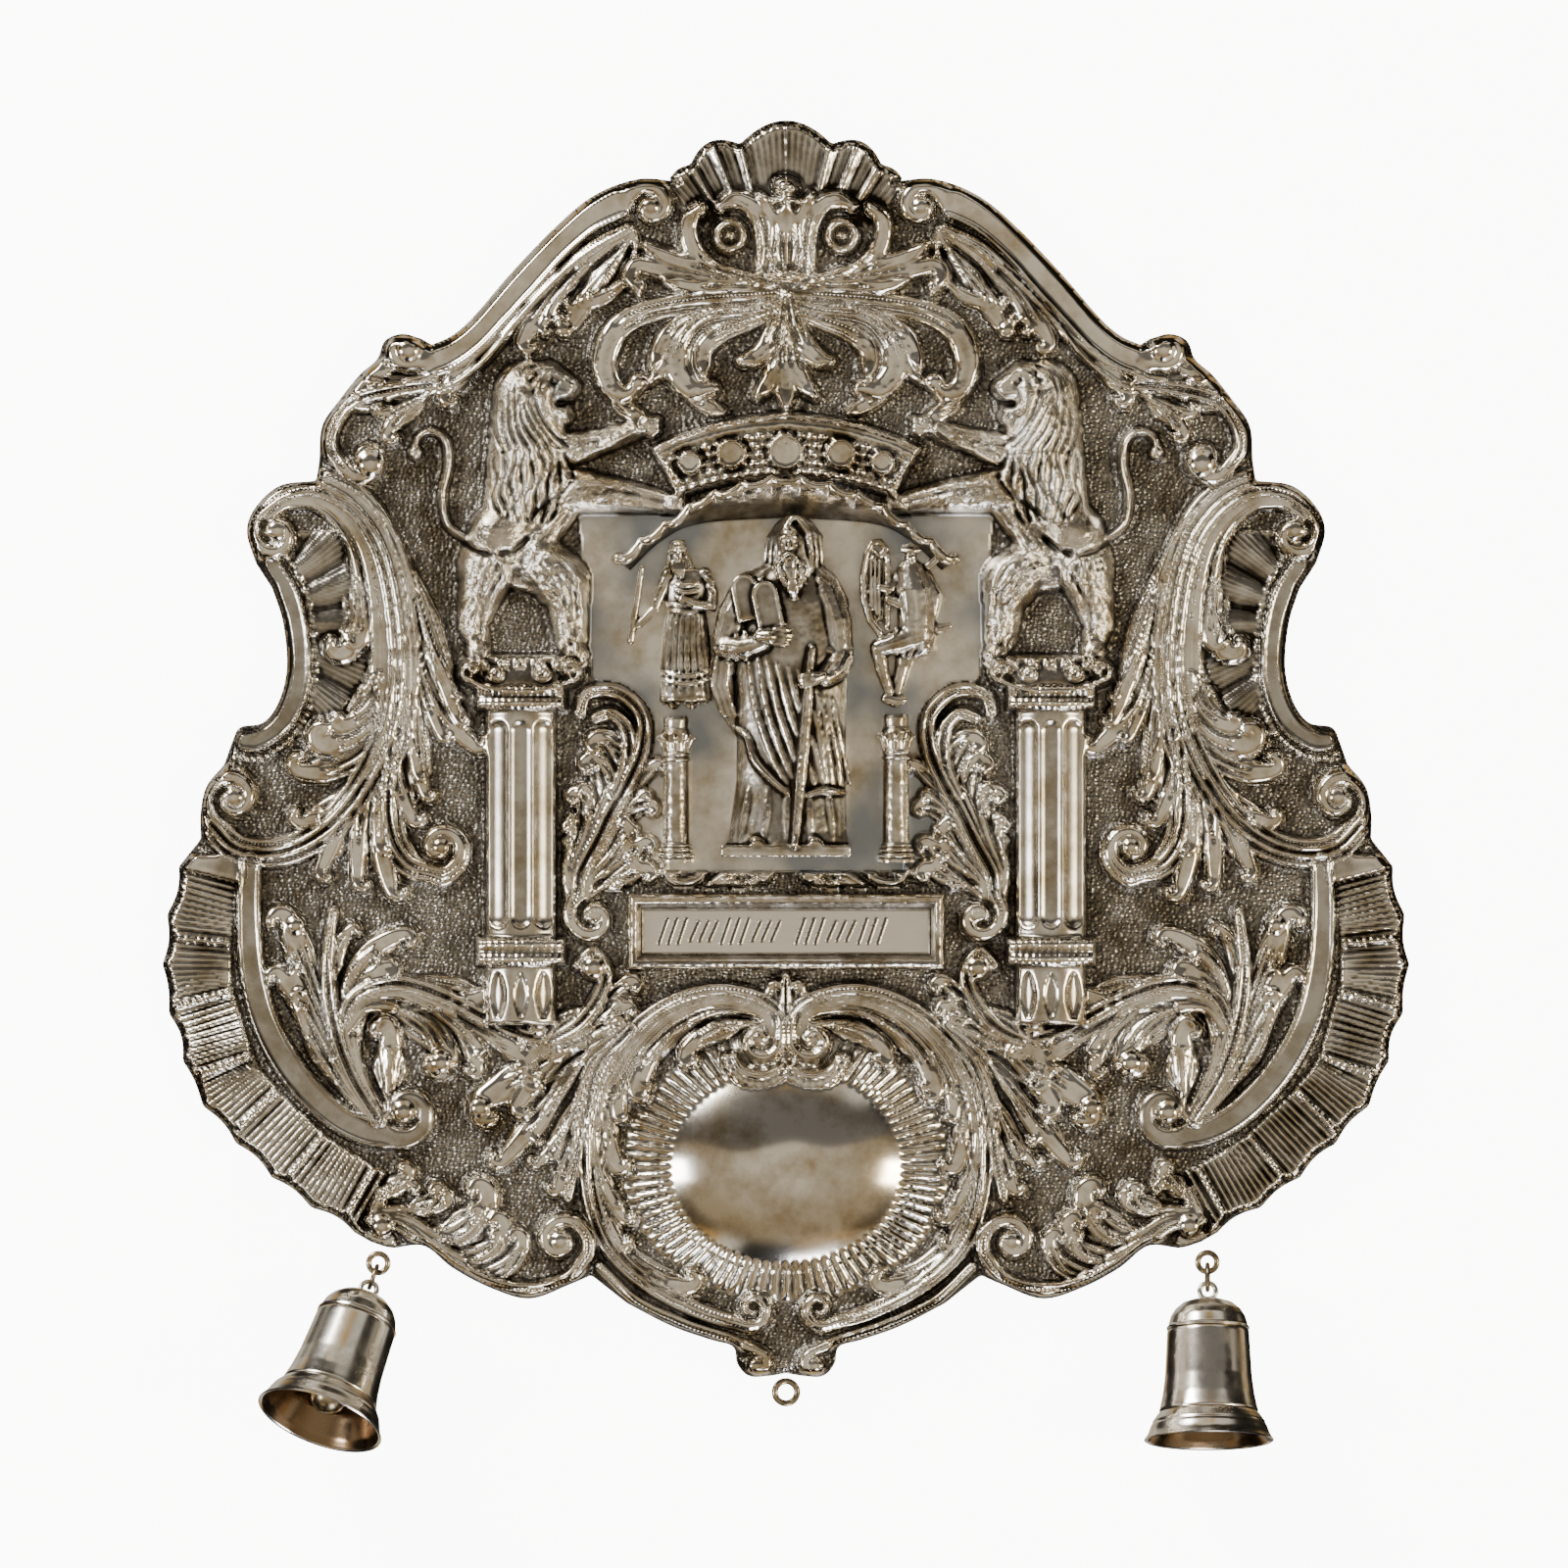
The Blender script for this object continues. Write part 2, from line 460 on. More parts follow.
def special_relief(points):
    """Relief that isn't a stroke: boss and rays, fans, columns, crown band, niche panel and pleated rim."""
    x, y = points.T
    found = []
    # Boss and its rays
    cx, cy = plan([BOSS_CENTRE])[0]
    rx, ry = BOSS_RADII[0] * PIXEL, BOSS_RADII[1] * PIXEL
    round_ = np.hypot((x - cx) / rx, (y - cy) / ry)
    found.append(np.where(round_ < 1, BOSS_RISE * np.sqrt(np.clip(1.12 - round_**2, 0, None)) * 0.94, 0))
    angle = np.arctan2((y - cy) / ry, (x - cx) / rx)
    fade = np.clip((RAY_REACH - round_) / (RAY_REACH - 1), 0, 1)
    rays = fade * (BOSS_RISE * 0.33 + RAY_RISE * np.cos(angle * RAY_COUNT / 2))
    found.append(np.where((round_ >= 1) & (round_ < RAY_REACH), rays, 0))
    # Large columns: shaft, pedestal, capital
    across = (np.abs(x) - (AXIS_X - COLUMN_X) * PIXEL) / (SHAFT_HALF_WIDTH * PIXEL)
    down = TOP_Y - y / PIXEL
    inside = (np.abs(across) < 1) & (down > SHAFT_TOP) & (down < PEDESTAL_FOOT)
    flutes = FLUTE_DEPTH * np.abs(np.cos(across * math.pi * FLUTES / 2))
    found.append(np.where(inside, SHAFT_RISE * (1 - 0.45 * across**2) - flutes, 0))
    for ring, depth, reach in ((712, 12, 1.28), (971, 13, 1.28)):
        in_ring = (np.abs(down - ring) < depth) & (np.abs(across) < reach)
        found.append(np.where(in_ring, SHAFT_RISE * (1.25 - 0.35 * across**2 / reach**2), 0))
    in_capital = (down > CAPITAL_TOP) & (down < 700) & (np.abs(across) < 1.7 - (down - CAPITAL_TOP) / 35)
    found.append(np.where(in_capital, SHAFT_RISE * (1.1 - 0.2 * across**2), 0))
    # Crown band, bulging, with its settings
    top, foot = arch(x, BAND_TOP), arch(x, BAND_FOOT)
    share = np.clip((y - foot) / np.maximum(top - foot, 1e-6), 0, 1)
    in_band = (y < top) & (y > foot) & (np.abs(x) < (AXIS_X - 663 - 28 * (1 - share)) * PIXEL)
    bulge = BAND_RISE * (0.72 + 0.28 * np.cos(x / (150 * PIXEL) * math.pi / 2)) + 0.0012 * share
    found.append(np.where(in_band, bulge, 0))
    for sx, sy, r in SETTINGS:
        at = plan([(sx, sy)])[0]
        found.append(np.where(np.hypot(np.abs(x) - abs(at[0]), y - at[1]) < r * PIXEL, BAND_RISE + 0.0020, 0))
    # Crown's cap and the boss where its leaves cross
    for ex, ey, rx_, ry_, rise in ((802, 194, 20, 12, 0.0070), (802, 283, 22, 11, 0.0075)):
        at = plan([(ex, ey)])[0]
        r = np.hypot((x - at[0]) / (rx_ * PIXEL), (y - at[1]) / (ry_ * PIXEL))
        found.append(rise * np.sqrt(np.clip(1 - r**2, 0, 1)))
    # Fans: the crest shell, and the two beside the notches
    fx, fy = plan([SHELL_CENTRE])[0]
    reach = np.hypot(x - fx, y - fy) / PIXEL
    angle = np.degrees(np.arctan2(x - fx, y - fy))
    in_shell = (reach > 135) & (np.abs(angle) < SHELL_LOBES[-1][1])
    ribs = 0.5 + 0.5 * np.cos(np.radians(angle) * SHELL_RIBS)
    found.append(np.where(in_shell, PLEAT_RISE * (0.3 + ribs * (reach - 120) / 80), 0))
    gx, gy = plan([SIDE_FAN_CENTRE])[0]
    reach = np.hypot(np.abs(x) + gx, y - gy) / PIXEL
    angle = np.arctan2(y - gy, -(np.abs(x) + gx))
    in_fan = (reach > 62) & (reach < 135) & (np.abs(down - 645) < 100)
    found.append(np.where(in_fan, PLEAT_RISE * (0.5 + 0.5 * np.cos(angle * 46)), 0))
    # Pleated rim outside the crescent
    gap, place = distance_along(np.stack([-np.abs(x), y], 1), smooth(plan(PLEATED_EDGE), 0.003))
    in_rim = (gap < 66 * PIXEL) & (down > 870) & (down < 1255) & (np.abs(x) > 400 * PIXEL)
    found.append(np.where(in_rim, PLEAT_RISE * (0.55 + 0.45 * np.cos(place * 1.9)), 0))
    return np.maximum.reduce([np.broadcast_to(f, x.shape) for f in found])


def flat_places(points):
    """Where the niche panel and the name plate's seat keep the plate flat."""
    x, y = points.T
    down = TOP_Y - y / PIXEL
    across = np.abs(x) / PIXEL
    seat = (across < AXIS_X - FRAME_LEFT + 4) & (down > FRAME_TOP - 4) & (down < FRAME_FOOT + 4)
    panel = (across < 122) & (down > 545) & (down < NICHE_FOOT)
    return seat, panel


def relief(points, strokes, outline):
    """Height of the plate's face above its back, at points of the left half."""
    found = [stroke_relief(points, s) for s in strokes]
    found.append(special_relief(points))
    found += [capsule_relief(points, part) for part in LION + mane()]
    rise = np.maximum.reduce(found)
    x, y = points.T
    down = TOP_Y - y / PIXEL
    in_niche = (np.abs(x) < NICHE_HALF_WIDTH * PIXEL) & (down > NICHE_TOP) & (down < NICHE_FOOT)
    rise = np.where(in_niche, np.maximum(rise, PANEL_RISE), rise)
    seat, panel = flat_places(points)
    rise = np.where(seat, 0, np.where(panel, PANEL_RISE, rise))
    edge = distance_along(points, outline)[0]
    height = RIM + (GROUND - RIM + rise) * np.clip(edge / RIM_SLOPE, 0, 1) ** 0.5
    lug = plan([BELLS["left"][0]])[0] + np.array([0, EYELET_RADIUS + EYELET_WIRE + GAP])
    on_lug = np.hypot(*(points - lug).T) < LUG_RADIUS
    return np.where(on_lug, np.maximum(height, EYELET_HEIGHT + EYELET_WIRE), height)


def scalloped(path, lobes, depth):
    """The line pushed out and in as rounded scallops, along the side on its right."""
    u = np.linspace(0, 1, len(path))
    out = tangents(path) @ np.array([[0, -1.0], [1.0, 0]])
    return path + out * (np.abs(np.sin(u * math.pi * lobes)) * depth - depth / 2)[:, None]


def plate_outline():
    """The left half of the outline, from the crest to the foot, both on the axis."""
    centre = plan([SHELL_CENTRE])[0]
    crest = []
    for start, end, rise in SHELL_LOBES:
        angle = np.radians(np.linspace(max(start, 0), end, 12))
        share = (np.degrees(angle) - start) / (end - start)
        reach = (SHELL_NOTCH_RADIUS + rise * np.sin(math.pi * share)) * PIXEL
        crest.append(centre + np.stack([-np.sin(angle), np.cos(angle)], 1) * reach[:, None])
    runs = crest + [
        smooth(plan(SHOULDER_EDGE)),
        smooth(plan(SHOULDER_FOOT_EDGE)),
        smooth(plan(SIDE_SCROLL_EDGE)),
        smooth(plan(NOTCH_EDGE)),
        smooth(plan(VOLUTE_EDGE)),
        scalloped(smooth(plan(PLEATED_EDGE)), PLEATED_LOBES, 5 * PIXEL),
        smooth(plan(LEAF_EDGE)),
        smooth(plan(CARTOUCHE_EDGE)),
    ]
    left = resample(np.concatenate(runs), LINE_STEP)
    left[0, 0] = left[-1, 0] = 0.0
    return left


def inside(points, loop):
    """Which points lie inside a closed loop."""
    x, y = points.T
    hit = np.zeros(len(points), bool)
    for (x0, y0), (x1, y1) in zip(loop, np.roll(loop, -1, axis=0)):
        crosses = (y0 > y) != (y1 > y)
        hit ^= crosses & (x < (x1 - x0) * (y - y0) / (y1 - y0 + 1e-15) + x0)
    return hit


def plate_mesh():
    """The left half of the plate, open on the axis: relief face, flat back, and a wall round the outline."""
    edge = plate_outline()
    axis = resample(np.array([edge[-1], edge[0]]), LINE_STEP)[1:-1]
    axis[:, 0] = 0.0
    border = np.concatenate([edge, axis])
    n = len(border)
    links = [(i, (i + 1) % n) for i in range(n)]
    low, high = border.min(0), border.max(0)
    step = FINE_STEP
    grid = np.stack(np.meshgrid(np.arange(low[0], high[0], step), np.arange(low[1], high[1], step * 0.87)), 2)
    grid[1::2, :, 0] += step / 2
    grid = grid.reshape(-1, 2)
    grid = grid[inside(grid, border) & (distance_along(grid,
                                                       np.concatenate([border, border[:1]]))[0] > step * 0.6)]
    mesh = bmesh.new()
    skins = []
    for points in (np.concatenate([border, grid]), border):
        made = delaunay_2d_cdt([Vector(p) for p in points], links, [], 0, 1e-7)
        flat = np.array([tuple(v) for v in made[0]])
        faces = np.array([f for f in made[2] if len(f) == 3])
        faces = faces[inside(flat[faces].mean(1), border)]
        face_up = len(points) > n
        height = relief(flat, half_strokes(), edge) if face_up else np.zeros(n)
        verts = [mesh.verts.new((x, y, z)) for (x, y), z in zip(flat, height)]
        for f in faces:
            mesh.faces.new([verts[i] for i in (f if face_up else f[::-1])])
        skins.append(verts)
    front, under = skins
    for i in range(len(edge) - 1):
        mesh.faces.new([front[i + 1], front[i], under[i], under[i + 1]])
    bmesh.ops.triangulate(mesh, faces=mesh.faces)
    return mesh


def make_plate():
    """The fine half is thinned where it is plain, made true on the axis and the back, and mirrored."""
    plate = add("shield_plate", plate_mesh(), REPOUSSE)
    thin = plate.modifiers.new("Thin", "DECIMATE")
    thin.ratio = PLATE_TRIANGLES / 2 / len(plate.data.polygons)
    settled = evaluated_mesh(plate)
    trued = bmesh.new()
    trued.from_mesh(settled)
    for vert in trued.verts:
        vert.co.x = 0.0 if vert.is_boundary else min(vert.co.x, -GAP)
        if vert.co.z < RIM / 4:
            vert.co.z = 0.0
    trued.to_mesh(settled)
    trued.free()
    plate.modifiers.clear()
    plate.data = settled
    halves = plate.modifiers.new("Halves", "MIRROR")
    halves.merge_threshold = 0.00001


def evaluated_mesh(shape):
    """A new mesh of the object as its modifiers leave it."""
    graph = bpy.context.evaluated_depsgraph_get()
    return bpy.data.meshes.new_from_object(shape.evaluated_get(graph), depsgraph=graph)


def add(name, mesh, finish):
    """A named object from a bmesh, in the shield's collection, with a metal of its own."""
    data = bpy.data.meshes.new(name)
    mesh.to_mesh(data)
    mesh.free()
    made = bpy.data.objects.new(name, data)
    bpy.data.collections["torah shield"].objects.link(made)
    dress(made, finish)
    return made


def dress(shape, finish):
    """Smooth shading and the piece's own silver."""
    colour, roughness = finish
    metal = bpy.data.materials.new(shape.name)
    metal.use_nodes = True
    shader = metal.node_tree.nodes["Principled BSDF"]
    shader.inputs["Base Color"].default_value = colour
    shader.inputs["Metallic"].default_value = 1.0
    shader.inputs["Roughness"].default_value = roughness
    shape.data.materials.append(metal)
    shape.data.shade_smooth()
    shape.data.set_sharp_from_angle(angle=SHARP_ANGLE)


def primitive(name, adder, finish, **sizes):
    """One of Blender's own primitives as a named object in the shield's collection."""
    adder(**sizes)
    made = bpy.context.object
    made.name = made.data.name = name
    for home in list(made.users_collection):
        home.objects.unlink(made)
    bpy.data.collections["torah shield"].objects.link(made)
    dress(made, finish)
    return made


def tool(shape):
    """Puts a cutter or a soldered part aside, so that only the piece it works on counts."""
    shape.hide_render = True
    shape.display_type = "WIRE"
    bpy.data.collections["torah shield"].objects.unlink(shape)
    bpy.data.collections["tools"].objects.link(shape)


def joined(shape, other, operation):
    """A Boolean of the piece with a tool."""
    step = shape.modifiers.new(operation.title(), "BOOLEAN")
    step.operation = operation
    step.object = other
    tool(other)


def capsule(mesh, p0, p1, r0, r1, segments):
    """A tapered rod with round ends, from p0 to p1."""
    run = p1 - p0
    place = Matrix.Translation((p0 + p1) / 2) @ run.to_track_quat("Z", "Y").to_matrix().to_4x4()
    bmesh.ops.create_cone(mesh, cap_ends=True, segments=segments, radius1=r0, radius2=r1, depth=run.length,
                          matrix=place)
    for p, r in ((p0, r0), (p1, r1)):
        bmesh.ops.create_uvsphere(mesh, u_segments=segments, v_segments=10, radius=r,
                                  matrix=Matrix.Translation(p))


def loft(mesh, rings):
    """A closed skin over rings of points, each ring a list of as many points."""
    rows = [[mesh.verts.new(p) for p in ring] for ring in rings]
    count = len(rows[0])
    for low, high in zip(rows[:-1], rows[1:]):
        for i in range(count):
            mesh.faces.new([low[i], low[(i + 1) % count], high[(i + 1) % count], high[i]])
    mesh.faces.new(rows[0][::-1])
    mesh.faces.new(rows[-1])


def fused(name, mesh, triangles, back, finish):
    """The shapes of mesh melted into one casting of about that many triangles, cut flat at the back."""
    bmesh.ops.recalc_face_normals(mesh, faces=mesh.faces)
    shape = add(name, mesh, finish)
    melt = shape.modifiers.new("Melt", "REMESH")
    melt.mode = "VOXEL"
    melt.voxel_size = FIGURE_GRAIN
    settle = shape.modifiers.new("Settle", "SMOOTH")
    settle.iterations = 2
    cast = evaluated_mesh(shape)
    count = sum(len(p.vertices) - 2 for p in cast.polygons)
    shape.modifiers.clear()
    shape.data = cast
    thin = shape.modifiers.new("Thin", "DECIMATE")
    thin.ratio = min(1.0, triangles / count)
    cast = evaluated_mesh(shape)
    shape.modifiers.clear()
    cut = bmesh.new()
    cut.from_mesh(cast)
    bmesh.ops.bisect_plane(cut, geom=cut.verts[:] + cut.edges[:] + cut.faces[:], plane_co=(0, 0, back),
                           plane_no=(0, 0, -1), clear_outer=True)
    open_edges = [e for e in cut.edges if e.is_boundary]
    if open_edges:
        bmesh.ops.holes_fill(cut, edges=open_edges)
    bmesh.ops.triangulate(cut, faces=cut.faces)
    cut.to_mesh(cast)
    cut.free()
    shape.data = cast
    return shape


def spot(x, y, z):
    """A point of the layout grid at a height z above the back, in metres."""
    at = plan([(x, y)])[0]
    return Vector((at[0], at[1], z))


def make_canopy():
    """The scalloped hood: a sheet from a line on the plate up and out to its front edge."""
    front, back = smooth(plan(CANOPY_FRONT)), smooth(plan(CANOPY_BACK))
    count, rows = 8, 3
    u = np.linspace(0, 1, count)
    pick = [np.stack([np.interp(u, np.linspace(0, 1, len(p)), p[:, k]) for k in (0, 1)], 1) for p in (front,
                                                                                                      back)]
    half = [np.concatenate([p, mirrored(p[-2::-1])]) for p in reversed(pick)]
    across = np.linspace(-1, 1, len(half[0]))
    half[1][1::2, 1] += CANOPY_SCALLOP
    foot = GROUND + PANEL_RISE + GAP + CANOPY_THICKNESS
    reach = foot + (CANOPY_REACH - 0.001) * (1 - 0.62 * across**2)
    mesh = bmesh.new()
    grid = []
    for k in range(rows + 1):
        share = k / rows
        line = half[0] + (half[1] - half[0]) * share
        z = foot + (reach - foot) * math.sin(share * math.pi / 2)
        grid.append([mesh.verts.new((x, y, h)) for (x, y), h in zip(line, z)])
    for low, high in zip(grid[:-1], grid[1:]):
        for i in range(len(low) - 1):
            mesh.faces.new([low[i], low[i + 1], high[i + 1], high[i]])
    hood = add("canopy", mesh, CAST)
    sheet = hood.modifiers.new("Sheet", "SOLIDIFY")
    sheet.thickness = CANOPY_THICKNESS
    sheet.offset = 0.0


def make_foot_ring():
    """The ring under the shield's foot."""
    foot = plate_outline()[-1]
    place = Matrix.Translation((0, foot[1] - FOOT_RING_RADIUS - FOOT_RING_WIRE - GAP, FOOT_RING_WIRE + GAP))
    wire_ring("foot_ring", FOOT_RING_RADIUS, FOOT_RING_WIRE, place)


def box(name, size, centre, finish):
    """A box with its scale applied."""
    made = primitive(name, bpy.ops.mesh.primitive_cube_add, finish, size=1.0)
    made.data.transform(Matrix.Diagonal((*size, 1)))
    made.matrix_world = Matrix.Translation(centre)
    return made


def make_name_plate():
    """The moulded frame soldered to the plate, and the festival plate that lies in it."""
    seat = GROUND + GAP
    low, high = spot(FRAME_LEFT, FRAME_FOOT, seat), spot(2 * AXIS_X - FRAME_LEFT, FRAME_TOP, seat)
    width, height = high.x - low.x, high.y - low.y
    middle = (low + high) / 2
    frame = box("name_plate_frame", (width, height, FRAME_RISE), middle + Vector((0, 0, FRAME_RISE / 2)),
                CAST)
    edge = frame.modifiers.new("Moulding", "BEVEL")
    edge.width = FRAME_LIP / 3
    edge.segments = 2
    opening = (width - 2 * FRAME_LIP, height - 2 * FRAME_LIP)
    window = box("frame_window", (*opening, 3 * FRAME_RISE), middle + Vector((0, 0, FRAME_RISE / 2)), CAST)
    joined(frame, window, "DIFFERENCE")
    size = (opening[0] - 2 * GAP, opening[1] - 2 * GAP, NAME_PLATE_THICKNESS)
    insert = box("festival_plate", size, middle + Vector((0, 0, NAME_PLATE_THICKNESS / 2)), POLISHED)
    edge = insert.modifiers.new("Edge", "BEVEL")
    edge.width = NAME_PLATE_THICKNESS / 5
    edge.segments = 1


def robe(mesh, centre_x, levels, back, folds, segments=20):
    """A robed body from hem to shoulders. Each level is y, half width and depth; folds ripple its front."""
    rings = []
    for y, shift, half, depth in levels:
        ring = []
        for k in range(segments):
            a = 2 * math.pi * k / segments
            ripple = 1 + 0.05 * math.cos(a * folds) * min(1.0, half / 30)
            x = centre_x + shift + half * math.cos(a) * ripple
            at = spot(x, y, back + depth * (0.5 + 0.5 * math.sin(a) * ripple))
            ring.append(at)
        rings.append(ring)
    loft(mesh, rings)


def drape_height(levels, centre_x, x, y, back):
    """Height of a robe's front at a point of the layout."""
    rows = sorted(levels)
    ys = [row[0] for row in rows]
    shift, half, depth = (np.interp(y, ys, [row[k] for row in rows]) for k in (1, 2, 3))
    across = min(0.98, abs(x - centre_x - shift) / half)
    return back + depth * (0.5 + 0.5 * math.sqrt(1 - across**2))


def fold(mesh, levels, centre_x, back, run, width):
    """A ridge of cloth along a run of layout points, half sunk in the robe."""
    spots = [spot(x, y, drape_height(levels, centre_x, x, y, back) - width * 0.35 * PIXEL) for x, y in run]
    for a, b in zip(spots[:-1], spots[1:]):
        capsule(mesh, a, b, width * PIXEL, width * PIXEL, segments=8)


def tablet(mesh, x, y, top, thickness, turn):
    """A slab with a round head, its face at top and its back sunk in the robe."""
    place = Matrix.Translation(spot(x, y, top - thickness / 2)) @ Matrix.Rotation(math.radians(turn), 4, "Z")
    width, length = 27 * PIXEL, 32 * PIXEL
    bmesh.ops.create_cube(mesh, size=1.0, matrix=place @ Matrix.Diagonal((width, length, thickness, 1)))
    bmesh.ops.create_cone(mesh, cap_ends=True, segments=16, radius1=width / 2, radius2=width / 2,
                          depth=thickness,
                          matrix=place @ Matrix.Translation((0, length / 2, 0)))


def limb(mesh, back, depth, start, end):
    """A rounded limb between two points, each x and y on the layout, radius in its units and height as a share
    of the figure's depth."""
    (x0, y0, r0, z0), (x1, y1, r1, z1) = start, end
    capsule(mesh, spot(x0, y0, back + depth * z0), spot(x1, y1, back + depth * z1), r0 * PIXEL, r1 * PIXEL,
            segments=12)


def make_prophet():
    """Standing man in a long mantle, with two tablets on one arm and a staff in the other hand."""
    back = GROUND + PANEL_RISE + GAP
    d = PROPHET_DEPTH
    mesh = bmesh.new()
    levels = [(868, -2, 60, d), (850, -1, 56, d * 0.97), (800, 1, 53, d * 0.90), (720, 1, 52, d * 0.86),
              (660, 2, 55, d * 0.86), (615, 3, 50, d * 0.82), (590, 4, 40, d * 0.74), (570, 4, 22, d * 0.62)]
    robe(mesh, 803, levels, back, 9)
    for k in range(6):
        run = [(768 + 9 * k, 672 + 4 * k), (778 + 11 * k, 730), (796 + 12 * k, 790 + 2 * k)]
        fold(mesh, levels, 803, back, run, 4.5)
    for k in range(4):
        fold(mesh, levels, 803, back, [(762 + 28 * k, 812 + 3 * k), (758 + 30 * k, 862)], 6)
    fold(mesh, levels, 803, back, [(762, 750), (780, 782), (806, 806), (858, 808)], 5)
    fold(mesh, levels, 803, back, [(830, 662), (826, 700), (820, 780), (813, 862)], 5.5)
    for start, end in PROPHET_LIMBS:
        limb(mesh, back, d, start, end)
    tablet(mesh, 764, 618, back + d * 0.78, d * 0.30, 8)
    tablet(mesh, 783, 622, back + d * 0.90, d * 0.30, 8)
    base = Matrix.Translation(spot(802, 872, back + d * 0.5)) @ Matrix.Diagonal((66 * PIXEL, 5 * PIXEL,
                                                                                 d * 0.52, 1))
    bmesh.ops.create_cube(mesh, size=2.0, matrix=base)
    fused("prophet_figure", mesh, 1000, back, CAST)


def make_priest():
    """Small standing priest in a tunic and a tall cap, one arm out with a rod."""
    back = GROUND + PANEL_RISE + GAP
    d = SMALL_FIGURE_DEPTH
    mesh = bmesh.new()
    robe(mesh, 700, [(714, -1, 24, d), (690, -1, 26, d * 0.95), (650, -1, 23, d * 0.85),
                     (618, 0, 19, d * 0.8),
                     (590, 2, 24, d * 0.8), (575, 2, 17, d * 0.6)], back, 7, 14)
    for start, end in PRIEST_LIMBS:
        limb(mesh, back, d, start, end)
    fused("priest_figure", mesh, 380, back, CAST)


def make_harpist():
    """Small crowned harpist, one knee raised, with a tall harp."""
    back = GROUND + PANEL_RISE + GAP
    mesh = bmesh.new()
    for start, end in HARPIST_LIMBS:
        limb(mesh, back, SMALL_FIGURE_DEPTH, start, end)
    fused("harpist_figure", mesh, 420, back, CAST)


def turned(name, profile, steps, finish, matrix):
    """A turned piece: a profile of (radius, height) spun round Z, then placed."""
    mesh = bmesh.new()
    last = None
    for r, h in profile:
        vert = mesh.verts.new((r, 0, h))
        if last:
            mesh.edges.new((last, vert))
        last = vert
    piece = add(name, mesh, finish)
    spin = piece.modifiers.new("Spin", "SCREW")
    spin.steps = steps
    spin.render_steps = steps
    spin.use_merge_vertices = True
    spin.merge_threshold = 0.00001
    piece.matrix_world = matrix
    return piece


def make_small_columns():
    """Two turned columns that carry the small figures, flush with the niche panel."""
    names = ("priest_column", "harpist_column")
    for name, x, top in zip(names, SMALL_COLUMN_X, SMALL_COLUMN_TOP):
        length = (SMALL_COLUMN_FOOT - top) * PIXEL
        r = SMALL_COLUMN_RADIUS
        profile = [(0, length), (r * 1.1, length), (r * 1.3, length - 0.0022), (r * 1.5, length - 0.0050),
                   (r * 1.45, length - 0.0072), (r, length - 0.0082), (r, 0.0072), (r * 1.35, 0.0060),
                   (r * 1.4, 0.0036), (r * FLANGE, 0.0026), (r * FLANGE, 0), (0, 0)]
        lift = GROUND + PANEL_RISE + GAP + r * FLANGE
        place = Matrix.Translation(spot(x, SMALL_COLUMN_FOOT, lift)) @ Matrix.Rotation(math.radians(-90), 4,
                                                                                       "X")
        turned(name, profile, 10, CAST, place)


def wire_ring(name, radius, wire, place):
    """A closed ring of round wire, lying across the Z axis of its placing matrix."""
    ring = primitive(name, bpy.ops.mesh.primitive_torus_add, POLISHED, major_segments=12, minor_segments=5,
                     major_radius=radius, minor_radius=wire)
    ring.matrix_world = place
    return ring


def bell_profile():
    """Outer profile from the dome's middle to the lip, then the inner one back up."""
    h, m, s, w = BELL_HEIGHT, BELL_MOUTH_RADIUS, BELL_SHOULDER_RADIUS, BELL_WALL
    outer = [(0, h), (s * 0.60, h * 0.97), (s * 0.90, h * 0.88), (s, h * 0.77), (s * 1.06, h * 0.45),
             (s * 1.20, h * 0.22), (m * 0.90, h * 0.06), (m, 0.0)]
    inner = [(m - w, 0.0), (m * 0.90 - w, h * 0.06 + w), (s * 1.20 - w, h * 0.22 + w),
             (s * 1.06 - w, h * 0.45),
             (s - w, h * 0.77), (s * 0.62 - w, h * 0.96 - w), (0, h * 0.97 - w)]
    return outer, inner


def resting_height(tilt):
    """How high the loop's centre is when the bell lies on the ground with its mouth end raised by tilt."""
    outer = bell_profile()[0]
    crown = BELL_HEIGHT + BELL_LOOP_RADIUS
    return -min((crown - h) * math.sin(tilt) - r * math.cos(tilt) for r, h in outer)


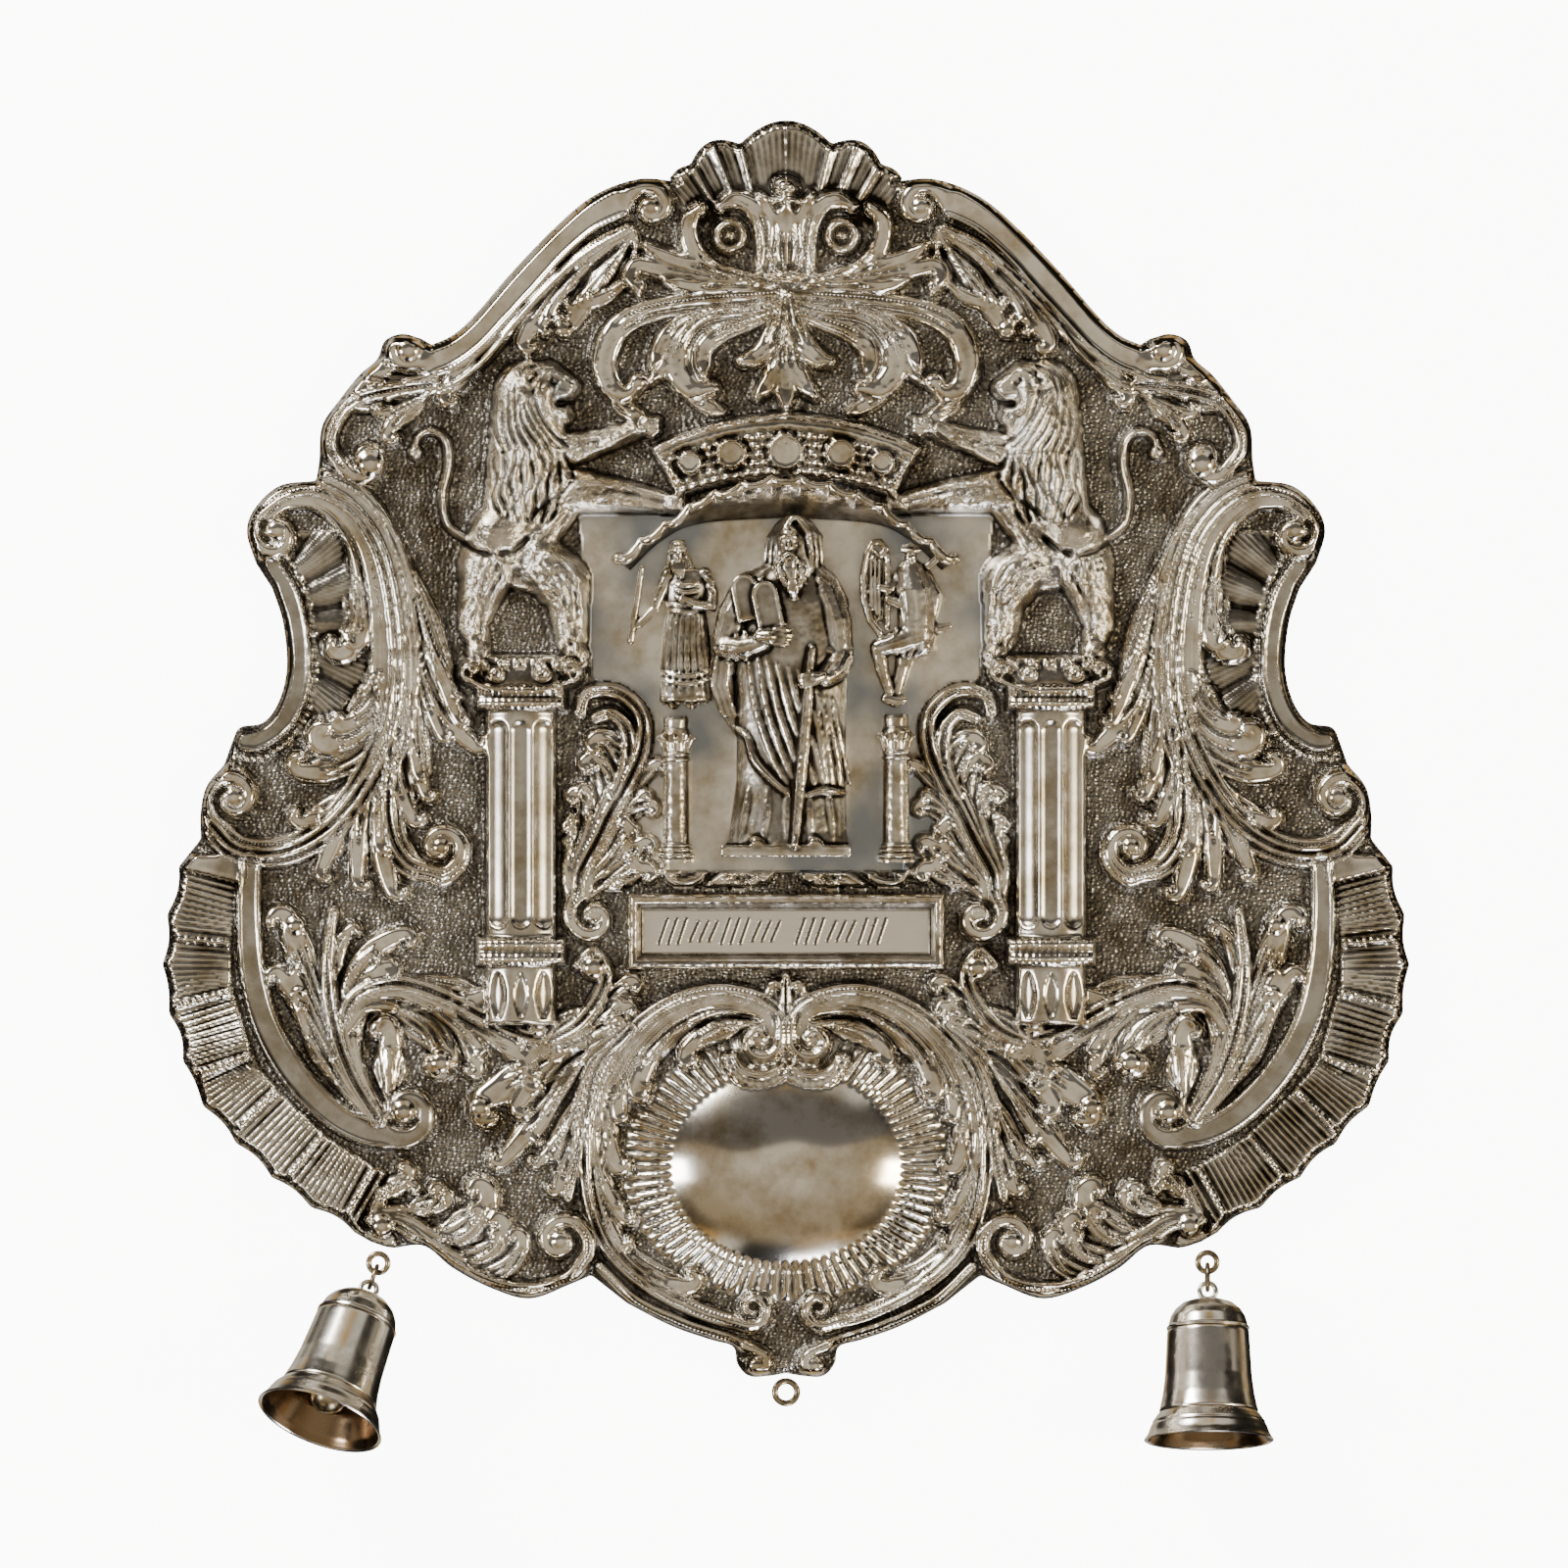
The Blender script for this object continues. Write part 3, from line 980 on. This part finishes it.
def make_bell(side):
    """A bell on its side with its loop and clapper, the jump ring and the eyelet it hangs from."""
    (ex, ey), turn, tilt = BELLS[side]
    tilt = math.radians(tilt)
    eyelet_at = spot(ex, ey, EYELET_HEIGHT)
    heading = Matrix.Rotation(math.radians(turn), 4, "Z")
    down, up = heading @ Vector((0, -1, 0)), Vector((0, 0, 1))
    across = down.cross(up)
    axis = down * math.cos(tilt) + up * math.sin(tilt)
    wire_ring(f"{side}_bell_eyelet", EYELET_RADIUS, EYELET_WIRE, Matrix.Translation(eyelet_at))
    # The jump ring holds the eyelet's far side and the near side of the bell's loop
    near = eyelet_at + down * EYELET_RADIUS
    climb = resting_height(tilt) - BELL_LOOP_RADIUS * math.sin(tilt) - near.z
    far = near + down * JUMP_RING_REACH + up * climb
    apart = (far - near).length
    radius = (apart + EYELET_WIRE + BELL_LOOP_WIRE) / 2 + GAP + JUMP_RING_WIRE
    ring_at = near + (far - near) / apart * (radius - JUMP_RING_WIRE - EYELET_WIRE - GAP)
    stand = Matrix.Translation(ring_at) @ across.to_track_quat("Z", "Y").to_matrix().to_4x4()
    wire_ring(f"{side}_bell_ring", radius, JUMP_RING_WIRE, stand)
    # The bell's own axis runs from its mouth at height 0 to its loop
    loop_at = far + axis * BELL_LOOP_RADIUS
    crown = BELL_HEIGHT + BELL_LOOP_RADIUS * 0.85
    turned_over = Matrix((across, across.cross(-axis) * -1, -axis)).transposed().to_4x4()
    place = Matrix.Translation(loop_at + axis * crown) @ turned_over
    outer, inner = bell_profile()
    shell = turned(f"{side}_bell", outer + inner, 14, POLISHED, place)
    flat_loop = Matrix.Translation(loop_at) @ across.cross(axis).to_track_quat("Z", "Y").to_matrix().to_4x4()
    loop = wire_ring(f"{side}_loop_tool", BELL_LOOP_RADIUS, BELL_LOOP_WIRE, flat_loop)
    joined(shell, loop, "UNION")
    ball = BELL_HEIGHT * 0.20
    top = BELL_HEIGHT * 0.97 - BELL_WALL - GAP
    turned(f"{side}_clapper", clapper_profile(ball, top), 8, CAST, place)


def clapper_profile(ball, top):
    """Ball and stem as one turned profile, top to bottom."""
    r, s = CLAPPER_RADIUS, CLAPPER_STEM_RADIUS
    angles = [math.radians(a) for a in (62, 30, 0, -30, -60, -90)]
    return [(0, top), (s, top), (s, ball + r * 0.98)] + [(max(r * math.cos(a), 0), ball + r * math.sin(a))
                                                        for a in angles[:-1]] + [(0, ball - r)]


def centre_everything():
    """Moves the whole so that the origin is under the middle of its box."""
    bpy.context.view_layer.update()
    graph = bpy.context.evaluated_depsgraph_get()
    corners = []
    pieces = list(bpy.data.collections["torah shield"].objects)
    for piece in pieces:
        seen = piece.evaluated_get(graph)
        mesh = seen.to_mesh()
        co = np.empty(len(mesh.vertices) * 3, np.float32)
        mesh.vertices.foreach_get("co", co)
        world = np.array(seen.matrix_world)
        corners.append(co.reshape(-1, 3) @ world[:3, :3].T + world[:3, 3])
        seen.to_mesh_clear()
    corners = np.concatenate(corners)
    middle = (corners.min(0) + corners.max(0)) / 2
    shift = Matrix.Translation((-middle[0], -middle[1], -corners[:, 2].min()))
    for piece in pieces + list(bpy.data.collections["tools"].objects):
        piece.matrix_world = shift @ piece.matrix_world


def main():
    for old in list(bpy.data.objects):
        bpy.data.objects.remove(old)
    for name in ("torah shield", "tools"):
        bpy.context.scene.collection.children.link(bpy.data.collections.new(name))
    make_plate()
    make_canopy()
    make_name_plate()
    make_foot_ring()
    make_prophet()
    make_priest()
    make_harpist()
    make_small_columns()
    for side in BELLS:
        make_bell(side)
    centre_everything()


main()
